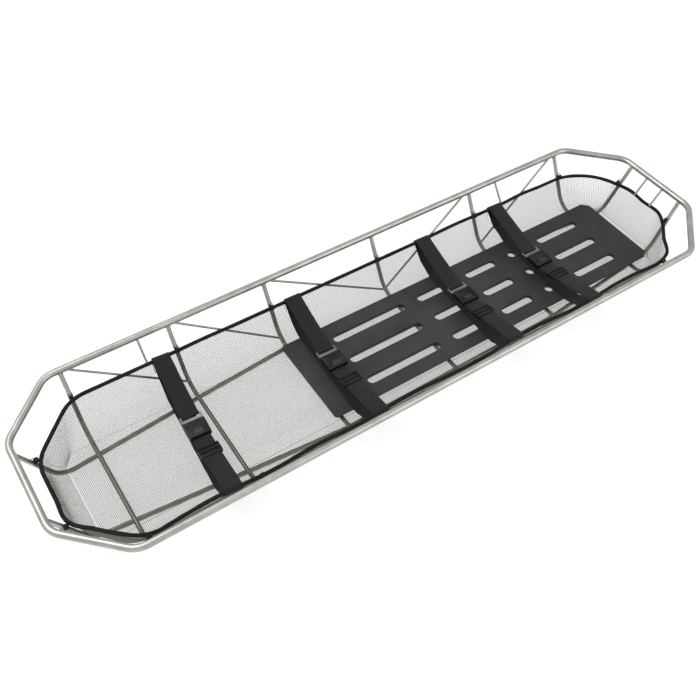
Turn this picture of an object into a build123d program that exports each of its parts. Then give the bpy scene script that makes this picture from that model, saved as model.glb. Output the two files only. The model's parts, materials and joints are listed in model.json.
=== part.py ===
from build123d import *
import os
from math import acos, atan2, cos, degrees, hypot, radians, sin, tan

# Rigid basket stretcher. +X points to the patient's head, +Y to the patient's right,
# +Z up. The origin is on the ground under the middle. All sizes are in millimetres.
# Heights called "drop" are measured down from the centre line of the top rail.

os.makedirs("parts", exist_ok=True)

# Frame tubes
LENGTH = 2134.0             # over the outside of the end rails
WIDTH = 596.0               # over the outside of the side rails
RAIL_D = 19.05
RIB_D = 12.7
RUNNER_D = 12.7
ROD_D = 6.35                # braces, posts and the core of the mesh rim
TUBE_WALL = 1.65
RAIL_X = (LENGTH - RAIL_D) / 2
RAIL_Y = (WIDTH - RAIL_D) / 2
END_BAR_Y = 141.0           # half the straight bar at each end
CHAMFER_X = 908.0           # where the side rail turns towards the end bar
RAIL_BEND = 62.0
RAIL_SPLICE_X = 820.0       # butt weld between the side rails and the end rails

# Ribs and runners
RIB_XS = (-868.0, -560.0, -258.0, 118.0, 500.0, 868.0)
RIB_DROP = 166.0
RIB_CORNER_Y = 195.0
RIB_BEND = 85.0
RUNNER_DROP = 177.5
RUNNER_END_BEND = 65.0
RUNNER_PLAN_BEND = 320.0
RUNNER_PLAN = ((-974.0, 106.0), (-560.0, 143.0), (-258.0, 168.0), (500.0, 162.0), (974.0, 112.0))
RUNNER_TOP_Y = 104.0        # where a runner meets the end bar
RAIL_Z = RUNNER_DROP + RUNNER_D / 2

# Wall braces
BRACE_FOOT_TURN = 33.0       # where round the rib's bend a brace ends, in degrees
BRACE_GAP = 0.2

# Wire mesh liner and its rim
RIM_D = 11.0                # black sleeve over the rim rod
RIM_X, RIM_Y = 1014.0, 237.0
RIM_END_Y = 97.0
RIM_CHAMFER_X = 876.0
RIM_BEND = 105.0
RIM_DROP = 64.0
LINER_GAP = 0.1             # between ribs and mesh
LINER_T = 2.0
LINER_FLOOR_X = 958.0
LINER_FLOOR_END_Y = 105.0
LINER_FLOOR_CHAMFER_X = 930.0
LINER_FLOOR_BEND = 25.0
LINER_RIM_OFFSET = 5.4      # mesh beyond the rim's centre line
PANEL_FLOOR_X = 930.0       # the floor panel ends here, and the wall panels below
PANEL_WALL_X = 883.0
STRAP_GAP_TOP, STRAP_GAP_FOOT = 59.0, 101.0     # drops of the gaps that pass the straps
TIE_D, TIE_LENGTH = 14.6, 16.0
END_TIE_Y = 80.0
SIDE_POSTS = ((-651.0, 1), (-673.0, -1), (608.0, 1), (608.0, -1))     # (X, side)
HEAD_POST_YS = (-32.0, 34.0)

# Spine board
BOARD_X0, BOARD_X1 = -282.0, 936.0
BOARD_Y = 6.0               # the board lies a little to the right of the middle
BOARD_W, BOARD_T = 300.0, 13.0
BOARD_FOOT_CORNER = 12.0    # radius
BOARD_HEAD_CORNER = 20.0    # chamfer
BOARD_BEVEL, BOARD_EDGE = 10.5, 1.5     # round the underside, and the radius on top
SLOT_W = 28.0
SLOT_ROWS = (-90.0, 0.0, 90.0)
SLOT_SPANS = ((-135.0, 122.0), (173.0, 274.0), (363.0, 481.0), (664.0, 834.0))
HOLE_XS, HOLE_D = (318.0, 552.0), 28.0

# Straps: (X at the middle, skew in degrees, extra drop of the slack ply)
STRAPS = ((-626.0, -3.6, 11.0), (-197.0, -1.6, 0.0), (276.0, -1.5, 0.0), (574.0, -1.0, 0.0))
WEB_W, WEB_T = 50.0, 2.0
WEB_END_GAP = 1.3           # from the buckle to the middle of the webbing's rounded end
WRAP_GAP = 0.5              # between a square strap and the rim
STRAP_DROP = 103.0          # upper ply at the buckle
SLACK_DROP = 143.1          # slack ply lying on the board
SLACK_Y = 158.0             # half-width of the part that lies flat
LOW_Y, LOW_DROP = 200.0, 120.0
SLACK_BEND, LOW_BEND = 60.0, 35.0

# Push-button buckle: x across the strap, y along it, z up from under the base plate.
# The latch is a rocker. The button pushes its near end down and lifts the tooth.
PIVOT_Y = 0.0
HOUSING_W, HOUSING_NEAR, HOUSING_FAR = 60.0, 28.0, 24.0     # lengths from the pivot
BASE_T = 2.0
WALL_TOP = 13.0
COVER_TOP, COVER_T = 16.0, 1.6
TONGUE_T = 2.5
BLADE_W, BLADE_TIP, BLADE_END = 42.0, 5.0, 28.0
FLANGE_W, FLANGE_L, FLANGE_BAR = 60.0, 24.0, 7.0
LATCH_Z, LATCH_T, LATCH_W = 5.2, 1.8, 16.0
LATCH_NEAR, LATCH_FAR = 14.5, 15.0
TOOTH_Y, TOOTH_L, TOOTH_W = 12.0, 4.0, 14.0
BARREL_D, PIN_D = 6.0, 3.0
BUTTON_W, BUTTON_L, BUTTON_Y = 24.0, 16.0, -14.0
BUTTON_PROUD, BUTTON_RIM, BUTTON_RIM_T = 1.0, 1.5, 2.0
STEM_Y, STEM_L, STEM_W = -13.0, 3.0, 12.0
FIT = 0.35                  # clearance round moving pieces
PIN_FIT = 0.05
SPRING_WIRE, SPRING_GAP, SPRING_R, SPRING_TURNS = 0.8, 0.25, 2.2, 5
ADJUSTER_Y = -85.0
ADJUSTER_W, ADJUSTER_L, ADJUSTER_T = 60.0, 38.0, 8.0
ADJUSTER_CORNER, ADJUSTER_END, ADJUSTER_BAR_R = 4.0, 6.0, 2.0
WEB_ROOM = 1.0              # wider and higher than the webbing in the adjuster
WEB_BAR_Y, WEB_BAR_Z, WEB_BAR_R = 4.0, 2.0, 2.2    # in the housing, from its end and floor
COVER_EDGE, COVER_CORNER = 3.0, 2.0
MOUTH_L, BLADE_MOUTH_H, WEB_MOUTH_H = 6.0, 5.0, 6.0
BLADE_CORNER, FLANGE_CORNER, FLANGE_SLOT_W = 3.0, 5.0, 6.0
BUTTON_EDGE = 0.8

LEAN = atan2(RAIL_Y - RIB_CORNER_Y, RIB_DROP)
BEND_TURN = radians(90) - LEAN
FLAT_Y = RIB_CORNER_Y - RIB_BEND * tan(BEND_TURN / 2)
BEND_CENTRE_Z = RAIL_Z - RIB_DROP + RIB_BEND
WEB_MID = BASE_T + TONGUE_T / 2
PIVOT_Z = LATCH_Z + LATCH_T / 2
HOUSING_L = HOUSING_NEAR + HOUSING_FAR
TONGUE_END = PIVOT_Y + BLADE_END + FLANGE_L + WEB_END_GAP
HOUSING_END = PIVOT_Y - HOUSING_NEAR - WEB_END_GAP
HOUSING_MID = (HOUSING_FAR - HOUSING_NEAR) / 2


def height(drop):
    """Height above the ground of a point this far below the top rail's centre line."""
    return RAIL_Z - drop


def mirrored(points):
    """The same points on the other side of the long centre plane, in reverse order."""
    return [(x, -y, z) for x, y, z in reversed(points)]


def section_at(path, outer, inner=0.0):
    """A round or ring-shaped section square to the start of a path."""
    ring = Circle(outer / 2)
    if inner:
        ring = ring - Circle(inner / 2)
    return Plane(origin=path @ 0, z_dir=path % 0) * ring


def tube(path, diameter):
    return sweep(section_at(path, diameter, diameter - 2 * TUBE_WALL), path=path)


def bar(path, diameter):
    return sweep(section_at(path, diameter), path=path)


def group(pieces):
    """Separate solids that share one node."""
    solids = []
    for piece in pieces:
        solids.extend(piece.solids())
    return Compound(children=solids)


def octagon(half_x, end_y, chamfer_x, half_y, z, bend):
    """Closed outline with chamfered, rounded ends."""
    quarter = [(chamfer_x, half_y), (half_x, end_y)]
    corners = quarter + [(x, -y) for x, y in reversed(quarter)]
    corners += [(-x, -y) for x, y in corners]
    points = [(x, y, z) for x, y in corners]
    return FilletPolyline(*points, radius=bend, close=True)


# Top rail -------------------------------------------------------------------

def side_rail_path(side):
    y = side * RAIL_Y
    return Line((-RAIL_SPLICE_X, y, RAIL_Z), (RAIL_SPLICE_X, y, RAIL_Z))


def end_rail_path(end):
    points = [
        (end * RAIL_SPLICE_X, RAIL_Y, RAIL_Z),
        (end * CHAMFER_X, RAIL_Y, RAIL_Z),
        (end * RAIL_X, END_BAR_Y, RAIL_Z),
    ]
    return FilletPolyline(*(points + mirrored(points)), radius=RAIL_BEND)


# Ribs and runners -----------------------------------------------------------

def rib_path(x):
    points = [(x, RAIL_Y, RAIL_Z), (x, RIB_CORNER_Y, height(RIB_DROP))]
    return FilletPolyline(*(points + mirrored(points)), radius=RIB_BEND)


def runner_path(side):
    points = [(-RAIL_X, side * RUNNER_TOP_Y, RAIL_Z)]
    points += [(x, side * y, height(RUNNER_DROP)) for x, y in RUNNER_PLAN]
    points += [(RAIL_X, side * RUNNER_TOP_Y, RAIL_Z)]
    inner = len(RUNNER_PLAN) - 2
    radii = [RUNNER_END_BEND] + [RUNNER_PLAN_BEND] * inner + [RUNNER_END_BEND]
    return FilletPolyline(*points, radius=radii)


def brace(side, top_x, foot_x):
    """Thin rod from under the top rail to the outside of the next rib's bend."""
    toward = 1 if foot_x > top_x else -1
    start_x = top_x + toward * (RIB_D + ROD_D + 1) / 2
    turn = radians(BRACE_FOOT_TURN)
    reach = RIB_BEND + (RIB_D + ROD_D) / 2 + BRACE_GAP
    foot = (foot_x, side * (FLAT_Y + reach * sin(turn)), BEND_CENTRE_Z - reach * cos(turn))
    return bar(Line((start_x, side * RAIL_Y, RAIL_Z), foot), ROD_D)


def post(top, foot):
    """Thin rod between the top rail and the mesh rim."""
    return bar(Line(top, foot), ROD_D)


# Mesh liner -----------------------------------------------------------------

def wall_y(drop, offset):
    """Half-width of the straight wall, this far inside the ribs' centre line."""
    return RAIL_Y - drop * tan(LEAN) - offset / cos(LEAN)


def liner_profile(offset):
    """Points (y, z) up one side of the liner, from the flat floor to the rim."""
    points = []
    for step in range(5):
        turn = BEND_TURN * step / 4
        radius = RIB_BEND - offset
        points.append((FLAT_Y + radius * sin(turn), BEND_CENTRE_Z - radius * cos(turn)))
    points.append((wall_y(RIM_DROP, offset), height(RIM_DROP)))
    return points


def liner_solid(offset, end_allowance):
    """Everything inside the liner's surface at this offset from the ribs."""
    profile = liner_profile(offset)
    floor_y, rim_y = profile[0][0], profile[-1][0]
    loops = []
    for y, z in profile:
        part = (y - floor_y) / (rim_y - floor_y)
        loop = octagon(
            LINER_FLOOR_X + part * (RIM_X + LINER_RIM_OFFSET - LINER_FLOOR_X) + end_allowance,
            LINER_FLOOR_END_Y + part * (RIM_END_Y - LINER_FLOOR_END_Y),
            LINER_FLOOR_CHAMFER_X + part * (RIM_CHAMFER_X - LINER_FLOOR_CHAMFER_X),
            y,
            z,
            LINER_FLOOR_BEND + part * (RIM_BEND - LINER_FLOOR_BEND),
        )
        loops.append(make_face(loop))
    return loft(loops, ruled=True)


def strap_gap(x, skew):
    """Gap in the mesh, under the rim, where a strap comes back in."""
    box = Box(WEB_W + 8, 2 * RAIL_Y, STRAP_GAP_FOOT - STRAP_GAP_TOP)
    middle = (STRAP_GAP_FOOT + STRAP_GAP_TOP) / 2
    return Pos(x, 0, height(middle)) * Rot(0, 0, skew) * box


def liner_panels(rim):
    """Floor, side walls and ends of the mesh, cut where the flat floor and the end ribs are."""
    offset = RIB_D / 2 + LINER_GAP
    shell = liner_solid(offset, LINER_T) - liner_solid(offset + LINER_T, 0.0) - rim
    floor_box = Box(2 * PANEL_FLOOR_X, 2 * FLAT_Y, RAIL_Z)
    wall_box = Box(2 * PANEL_WALL_X, 4 * RAIL_Y, 4 * RAIL_Z)
    floor = shell & floor_box
    middle = (shell - floor_box) & wall_box
    ends = shell - floor_box - wall_box
    for x, skew, _ in STRAPS:
        middle = middle - strap_gap(x, skew)
    panels = {"mesh_floor": floor}
    for name, side in (("left", -1), ("right", 1)):
        half = Pos(0, side * RAIL_Y, 0) * Box(4 * RAIL_X, 2 * RAIL_Y, 4 * RAIL_Z)
        panels["mesh_wall_" + name] = middle & half
    for name, end in (("foot", -1), ("head", 1)):
        half = Pos(end * RAIL_X, 0, 0) * Box(2 * RAIL_X, 4 * RAIL_Y, 4 * RAIL_Z)
        panels["mesh_" + name + "_end"] = ends & half
    return panels


def rim_ties(loop, rim):
    """Collars that bind the rim to the ribs and, at the ends, to the runners."""
    lining = bar(loop, TIE_D) - rim
    collars = []
    for x in RIB_XS:
        for side in (-1, 1):
            slab = Box(TIE_LENGTH, RAIL_Y, RAIL_D)
            collars.append(lining & (Pos(x, side * RIM_Y, height(RIM_DROP)) * slab))
    for end in (-1, 1):
        for side in (-1, 1):
            slab = Box(RAIL_Y, TIE_LENGTH, RAIL_D)
            collars.append(lining & (Pos(end * RIM_X, side * END_TIE_Y, height(RIM_DROP)) * slab))
    return collars


# Spine board ----------------------------------------------------------------

def spine_board():
    length = BOARD_X1 - BOARD_X0
    centre_x = (BOARD_X0 + BOARD_X1) / 2
    outline = Pos(centre_x, 0) * Rectangle(length, BOARD_W)
    ends = outline.vertices().group_by(Axis.X)
    outline = fillet(ends[0], BOARD_FOOT_CORNER)
    outline = chamfer(outline.vertices().group_by(Axis.X)[-1], BOARD_HEAD_CORNER)
    for y in SLOT_ROWS:
        for x0, x1 in SLOT_SPANS:
            outline -= Pos((x0 + x1) / 2, y) * SlotOverall(x1 - x0, SLOT_W)
        for x in HOLE_XS:
            outline -= Pos(x, y) * Circle(HOLE_D / 2)
    bottom = height(RIB_DROP) + RIB_D / 2 + 2 * LINER_GAP + LINER_T
    board = extrude(Pos(0, BOARD_Y, bottom) * outline, BOARD_T)
    lower = board.faces().sort_by(Axis.Z)[0].outer_wire().edges()
    board = chamfer(lower, BOARD_BEVEL)
    upper = board.faces().sort_by(Axis.Z)[-1].edges()
    return fillet(upper, BOARD_EDGE)


# Straps and buckles ---------------------------------------------------------

def strap_z(drop):
    """Height in a strap's own frame of a point this far below the top rail."""
    return STRAP_DROP + WEB_MID - drop


def strap_place(x, skew):
    """Frame of one strap: y across the stretcher, z up from under the base plate."""
    return Pos(x, 0, height(STRAP_DROP) - WEB_MID) * Rot(0, 0, skew)


def wrap_radius(skew):
    """Radius at which a strap that crosses the rim at an angle still clears it."""
    return RIM_D / 2 + WEB_T / 2 + WRAP_GAP + WEB_W / 2 * tan(radians(abs(skew)))


def wrap_points(y, z, radius):
    """Points on the rim's wrap circle where runs from (y, z) touch its top and its outside."""
    rim_z = strap_z(RIM_DROP)
    away = atan2(z - rim_z, y - RIM_Y)
    half = acos(radius / hypot(z - rim_z, y - RIM_Y))
    touches = []
    for angle in (away - half, away + half):
        touches.append((RIM_Y + radius * cos(angle), rim_z + radius * sin(angle)))
    return touches


def webbing(skew, extra_slack):
    """One length of webbing: tongue, far rim, slack ply underneath, near rim, housing."""
    radius = wrap_radius(skew)
    lines = []
    unders = []
    for side, end_y in ((1, TONGUE_END), (-1, HOUSING_END)):
        start_y = side * end_y
        on_top = wrap_points(start_y, WEB_MID, radius)[0]
        under = wrap_points(LOW_Y, strap_z(LOW_DROP), radius)[1]
        outside = (RIM_Y + radius, strap_z(RIM_DROP))
        arc = [(side * y, z) for y, z in (on_top, outside, under)]
        lines.append(Line((end_y, WEB_MID), arc[0]))
        lines.append(ThreePointArc(*arc))
        unders.append(arc[2])
    slack_z = strap_z(SLACK_DROP + extra_slack)
    far = [unders[0], (LOW_Y, strap_z(LOW_DROP)), (SLACK_Y, slack_z)]
    near = [(-SLACK_Y, slack_z), (-LOW_Y, strap_z(LOW_DROP)), unders[1]]
    lines.append(FilletPolyline(*(far + near), radius=[LOW_BEND, SLACK_BEND, SLACK_BEND, LOW_BEND]))
    path = Wire([edge for line in lines for edge in line.edges()])
    ribbon = make_face(offset(path, WEB_T / 2, side=Side.BOTH).edges())
    return extrude(Plane.YZ * ribbon, WEB_W / 2, both=True)


def at_pivot(y, z):
    return Pos(0, PIVOT_Y + y, z)


def across(radius, width):
    """A round bar across the strap."""
    return Rot(0, 90, 0) * Cylinder(radius, width)


def buckle_base():
    """Floor plate with two side walls, the webbing bar and holes for the latch pin."""
    width = HOUSING_W - 2 * COVER_T
    length = HOUSING_L - 2 * COVER_T
    base = at_pivot(HOUSING_MID, BASE_T / 2) * Box(width, length, BASE_T)
    for side in (-1, 1):
        wall = Box(BASE_T, length, WALL_TOP - BASE_T)
        x = side * (width - BASE_T) / 2
        base += Pos(x, PIVOT_Y + HOUSING_MID, (WALL_TOP + BASE_T) / 2) * wall
    base += at_pivot(WEB_BAR_Y - HOUSING_NEAR, BASE_T + WEB_BAR_Z) * across(WEB_BAR_R, width - BASE_T)
    return base - at_pivot(0, PIVOT_Z) * across(PIN_D / 2, width + 2)


def buckle_cover():
    """Pressed shell over the base, open below, with the button window and two mouths."""
    outer = at_pivot(HOUSING_MID, COVER_TOP / 2) * Box(HOUSING_W, HOUSING_L, COVER_TOP)
    outer = fillet(outer.edges().group_by(Axis.Z)[-1], COVER_EDGE)
    outer = fillet(outer.edges().filter_by(Axis.Z), COVER_CORNER)
    inside = Box(HOUSING_W - 2 * COVER_T, HOUSING_L - 2 * COVER_T, COVER_TOP)
    cover = outer - at_pivot(HOUSING_MID, COVER_TOP / 2 - COVER_T) * inside
    window = Box(BUTTON_W + 2 * FIT, BUTTON_L + 2 * FIT, COVER_TOP)
    cover -= at_pivot(BUTTON_Y, COVER_TOP) * window
    mouth = Box(BLADE_W + 2, MOUTH_L, BLADE_MOUTH_H)
    cover -= at_pivot(HOUSING_FAR, BASE_T + 1.5) * mouth
    mouth = Box(WEB_W + 2, MOUTH_L, WEB_MOUTH_H)
    return cover - at_pivot(-HOUSING_NEAR, BASE_T + WEB_BAR_Z) * mouth


def tongue():
    """Steel plate: a blade with the latch hole, and a flange with a slot for the webbing."""
    blade_l = BLADE_END - BLADE_TIP + 2
    outline = Pos(0, BLADE_TIP + blade_l / 2) * RectangleRounded(BLADE_W, blade_l, BLADE_CORNER)
    outline += Pos(0, BLADE_END + FLANGE_L / 2) * RectangleRounded(FLANGE_W, FLANGE_L, FLANGE_CORNER)
    outline -= Pos(0, TOOTH_Y + FIT) * Rectangle(TOOTH_W + 3, TOOTH_L + 1.6)
    slot_y = BLADE_END + FLANGE_L - FLANGE_BAR - FLANGE_SLOT_W / 2
    outline -= Pos(0, slot_y) * SlotOverall(WEB_W + 2, FLANGE_SLOT_W)
    return at_pivot(0, BASE_T) * extrude(outline, TONGUE_T)


def latch():
    """Rocker: a plate on a barrel, with a tooth that drops into the tongue's hole."""
    length = LATCH_NEAR + LATCH_FAR
    mid = (LATCH_FAR - LATCH_NEAR) / 2
    plate = at_pivot(mid, PIVOT_Z) * Box(LATCH_W, length, LATCH_T)
    plate += at_pivot(0, PIVOT_Z) * across(BARREL_D / 2, LATCH_W)
    tooth_foot = BASE_T + FIT
    tooth_h = LATCH_Z - tooth_foot
    plate += at_pivot(TOOTH_Y, tooth_foot + tooth_h / 2) * Box(TOOTH_W, TOOTH_L, tooth_h)
    return plate - at_pivot(0, PIVOT_Z) * across(PIN_D / 2 + PIN_FIT, LATCH_W + 2)


def button():
    """Push button with a retaining rim under the cover and a stem above the latch."""
    rim_top = COVER_TOP - COVER_T - FIT
    top = COVER_TOP + BUTTON_PROUD
    cap = at_pivot(BUTTON_Y, (top + rim_top) / 2) * Box(BUTTON_W, BUTTON_L, top - rim_top)
    cap = fillet(cap.edges().group_by(Axis.Z)[-1], BUTTON_EDGE)
    rim = Box(BUTTON_W + 2 * BUTTON_RIM, BUTTON_L + 2 * BUTTON_RIM, BUTTON_RIM_T)
    cap += at_pivot(BUTTON_Y, rim_top - BUTTON_RIM_T / 2) * rim
    foot = LATCH_Z + LATCH_T + FIT
    stem_h = rim_top - BUTTON_RIM_T - foot
    return cap + at_pivot(STEM_Y, foot + stem_h / 2) * Box(STEM_W, STEM_L, stem_h)


def latch_pin():
    return at_pivot(0, PIVOT_Z) * across(PIN_D / 2, HOUSING_W - 2 * COVER_T)


def latch_spring():
    """Torsion coil of square wire on the pin, beside the latch."""
    pitch = SPRING_WIRE + SPRING_GAP
    coil = Helix(pitch, pitch * SPRING_TURNS, SPRING_R)
    start = Plane(origin=coil @ 0, x_dir=(1, 0, 0), z_dir=coil % 0)
    section = start * Rectangle(SPRING_WIRE, SPRING_WIRE)
    wire = sweep(section, path=coil, is_frenet=True)
    return at_pivot(0, PIVOT_Z) * Pos(LATCH_W / 2 + 2.0, 0, 0) * Rot(0, 90, 0) * wire


def adjuster(skew):
    """Slide adjuster: a low frame round the near run of the webbing, with a bar on top."""
    on_top = wrap_points(-HOUSING_END, WEB_MID, wrap_radius(skew))[0]
    slope = atan2(on_top[1] - WEB_MID, on_top[0] + HOUSING_END)
    z = WEB_MID + (HOUSING_END - ADJUSTER_Y) * tan(slope)
    frame = Box(ADJUSTER_W, ADJUSTER_L, ADJUSTER_T)
    frame = fillet(frame.edges().filter_by(Axis.Z), ADJUSTER_CORNER)
    frame -= Box(WEB_W + WEB_ROOM, 2 * ADJUSTER_L, WEB_T + WEB_ROOM)
    window = Box(WEB_W + WEB_ROOM, ADJUSTER_L - 2 * ADJUSTER_END, ADJUSTER_T)
    frame -= Pos(0, 0, ADJUSTER_T / 2) * window
    frame += Pos(0, 0, ADJUSTER_T / 2) * across(ADJUSTER_BAR_R, ADJUSTER_W - 2 * ADJUSTER_BAR_R)
    return Pos(0, ADJUSTER_Y, z) * Rot(-degrees(slope), 0, 0) * frame


# Nodes ----------------------------------------------------------------------

def build_frame():
    """Tubes, cut so that each one meets its neighbour's outside."""
    nodes = {}
    rails = {"left": -1, "right": 1}
    solid_rails = []
    for name, side in rails.items():
        nodes["side_rail_" + name] = tube(side_rail_path(side), RAIL_D)
        solid_rails.append(bar(side_rail_path(side), RAIL_D))
    solid_ends = []
    for name, end in (("foot", -1), ("head", 1)):
        nodes[name + "_end_rail"] = tube(end_rail_path(end), RAIL_D)
        solid_ends.append(bar(end_rail_path(end), RAIL_D))
    top_rail = solid_rails + solid_ends
    solid_ribs = []
    for number, x in enumerate(RIB_XS, 1):
        nodes["rib_" + str(number)] = tube(rib_path(x), RIB_D) - top_rail
        solid_ribs.append(bar(rib_path(x), RIB_D))
    for name, side in rails.items():
        nodes["runner_" + name] = tube(runner_path(side), RUNNER_D) - (solid_ribs + solid_ends)
        spans = [(RIB_XS[i], RIB_XS[i + 1]) for i in range(3)]
        spans += [(RIB_XS[i + 1], RIB_XS[i]) for i in (3, 4)]
        rods = [brace(side, top, foot) for top, foot in spans]
        nodes["wall_braces_" + name] = group([rod - top_rail for rod in rods])
    return nodes, top_rail, solid_ribs


def build_rim(top_rail, solid_ribs):
    """Rim rod in its black sleeve, the posts that hold it and the collars that bind it."""
    loop = octagon(RIM_X, RIM_END_Y, RIM_CHAMFER_X, RIM_Y, height(RIM_DROP), RIM_BEND)
    rim = bar(loop, RIM_D)
    nodes = {"rim_rod": bar(loop, ROD_D)}
    nodes["rim_sleeve"] = rim - nodes["rim_rod"]
    side_posts = []
    for x, side in SIDE_POSTS:
        top = (x, side * RAIL_Y, RAIL_Z)
        side_posts.append(post(top, (x, side * RIM_Y, height(RIM_DROP))) - top_rail - rim)
    nodes["strap_posts"] = group(side_posts)
    head_posts = []
    for y in HEAD_POST_YS:
        top = (RAIL_X, y, RAIL_Z)
        head_posts.append(post(top, (RIM_X, y, height(RIM_DROP))) - top_rail - rim)
    nodes["head_posts"] = group(head_posts)
    panels = liner_panels(rim)
    nodes.update(panels)
    cutters = solid_ribs + list(panels.values())
    nodes["rim_ties"] = group([collar - cutters for collar in rim_ties(loop, rim)])
    return nodes


def build_straps():
    nodes = {}
    pins = []
    springs = []
    for number, (x, skew, extra_slack) in enumerate(STRAPS, 1):
        place = strap_place(x, skew)
        pieces = {
            "strap_%d_webbing": webbing(skew, extra_slack),
            "strap_%d_tongue": tongue(),
            "strap_%d_buckle_base": buckle_base(),
            "strap_%d_buckle_cover": buckle_cover(),
            "strap_%d_latch": latch(),
            "strap_%d_button": button(),
            "strap_%d_adjuster": adjuster(skew),
        }
        for name, piece in pieces.items():
            nodes[name % number] = place * piece
        pins.append(place * latch_pin())
        springs.append(place * latch_spring())
    nodes["latch_pins"] = group(pins)
    nodes["latch_springs"] = group(springs)
    return nodes


nodes, top_rail, solid_ribs = build_frame()
nodes.update(build_rim(top_rail, solid_ribs))
nodes["spine_board"] = spine_board()
nodes.update(build_straps())

for name, shape in nodes.items():
    export_step(shape, "parts/" + name + ".step")
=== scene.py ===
import bmesh
import bpy
import json
import math
import random
from mathutils import Matrix, Vector


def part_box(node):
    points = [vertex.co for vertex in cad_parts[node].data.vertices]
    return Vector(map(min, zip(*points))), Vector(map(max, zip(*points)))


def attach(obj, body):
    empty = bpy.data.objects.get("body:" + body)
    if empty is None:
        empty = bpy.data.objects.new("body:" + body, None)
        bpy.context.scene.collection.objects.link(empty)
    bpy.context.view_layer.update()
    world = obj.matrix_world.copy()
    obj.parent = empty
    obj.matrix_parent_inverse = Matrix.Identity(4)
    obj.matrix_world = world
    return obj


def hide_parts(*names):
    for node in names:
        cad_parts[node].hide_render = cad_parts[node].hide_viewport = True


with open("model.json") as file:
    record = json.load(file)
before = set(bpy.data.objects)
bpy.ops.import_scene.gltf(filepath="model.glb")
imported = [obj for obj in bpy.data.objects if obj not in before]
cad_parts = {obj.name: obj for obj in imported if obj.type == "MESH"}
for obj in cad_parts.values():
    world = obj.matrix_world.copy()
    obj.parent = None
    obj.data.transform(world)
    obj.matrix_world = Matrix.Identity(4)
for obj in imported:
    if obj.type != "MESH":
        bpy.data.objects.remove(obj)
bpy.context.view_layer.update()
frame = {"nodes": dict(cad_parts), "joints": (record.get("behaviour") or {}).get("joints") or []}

# A rigid basket stretcher. +X points to the patient's head, +Y to the patient's right,
# +Z up, in metres. Sizes written with MM are in millimetres.

MM = 0.001
BODY = "stretcher"

# Frame sizes and places, read from the CAD nodes


def middle(node):
    """Middle of a CAD node's box."""
    low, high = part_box(node)
    return (low + high) / 2


RAIL = middle("side_rail_right")
RAIL_Y, RAIL_Z = RAIL.y, RAIL.z
RAIL_R = (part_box("side_rail_right")[1].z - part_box("side_rail_right")[0].z) / 2
RIB_XS = [middle("rib_%d" % number).x for number in range(1, 7)]
RIB_R = (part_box("rib_1")[1].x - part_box("rib_1")[0].x) / 2
RIM_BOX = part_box("rim_sleeve")
RIM_R = (RIM_BOX[1].z - RIM_BOX[0].z) / 2
RIM_X = RIM_BOX[1].x - RIM_R
RIM_Y = RIM_BOX[1].y - RIM_R
RIM_Z = middle("rim_sleeve").z

# The rest of the frame's geometry, as in the CAD
RIB_CORNER_Y = 195 * MM
RIB_DROP = 166 * MM
RIB_BEND = 85 * MM
LEAN = math.atan2(RAIL_Y - RIB_CORNER_Y, RIB_DROP)
BEND_TURN = math.radians(90) - LEAN
FLAT_Y = RIB_CORNER_Y - RIB_BEND * math.tan(BEND_TURN / 2)
BEND_CENTRE_Z = RAIL_Z - RIB_DROP + RIB_BEND

# Camera
CAMERA_PLACE = (-1.026, -1.2355, 1.9421)
CAMERA_AZIMUTH, CAMERA_ELEVATION, CAMERA_ROLL = -35.54, 50.56, 2.61
CAMERA_LENS, SENSOR = 43.4, 36.0        # in millimetres
CAMERA_REACH = 50                       # nothing further away than this is drawn


def camera():
    """Camera that looks down on the near side from beyond the foot."""
    data = bpy.data.cameras.new("camera")
    data.lens = CAMERA_LENS
    data.sensor_width = SENSOR
    data.clip_end = CAMERA_REACH
    turn, rise = math.radians(CAMERA_AZIMUTH), math.radians(CAMERA_ELEVATION)
    right = Vector((math.cos(turn), math.sin(turn), 0))
    back = Vector((math.sin(turn) * math.cos(rise), -math.cos(turn) * math.cos(rise), math.sin(rise)))
    right = Matrix.Rotation(math.radians(CAMERA_ROLL), 3, back) @ right
    turned = Matrix((right, back.cross(right), back)).transposed()
    eye = bpy.data.objects.new("camera", data)
    eye.matrix_world = Matrix.Translation(CAMERA_PLACE) @ turned.to_4x4()
    bpy.context.scene.collection.objects.link(eye)
    bpy.context.scene.camera = eye


# Mesh building -------------------------------------------------------------

NEARLY_UPRIGHT = 0.9                    # a direction's Z share above which it counts as upright
SKEW = Vector((0.3, 0.5, 0.8))          # a direction that no bar of the frame lies along


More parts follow.
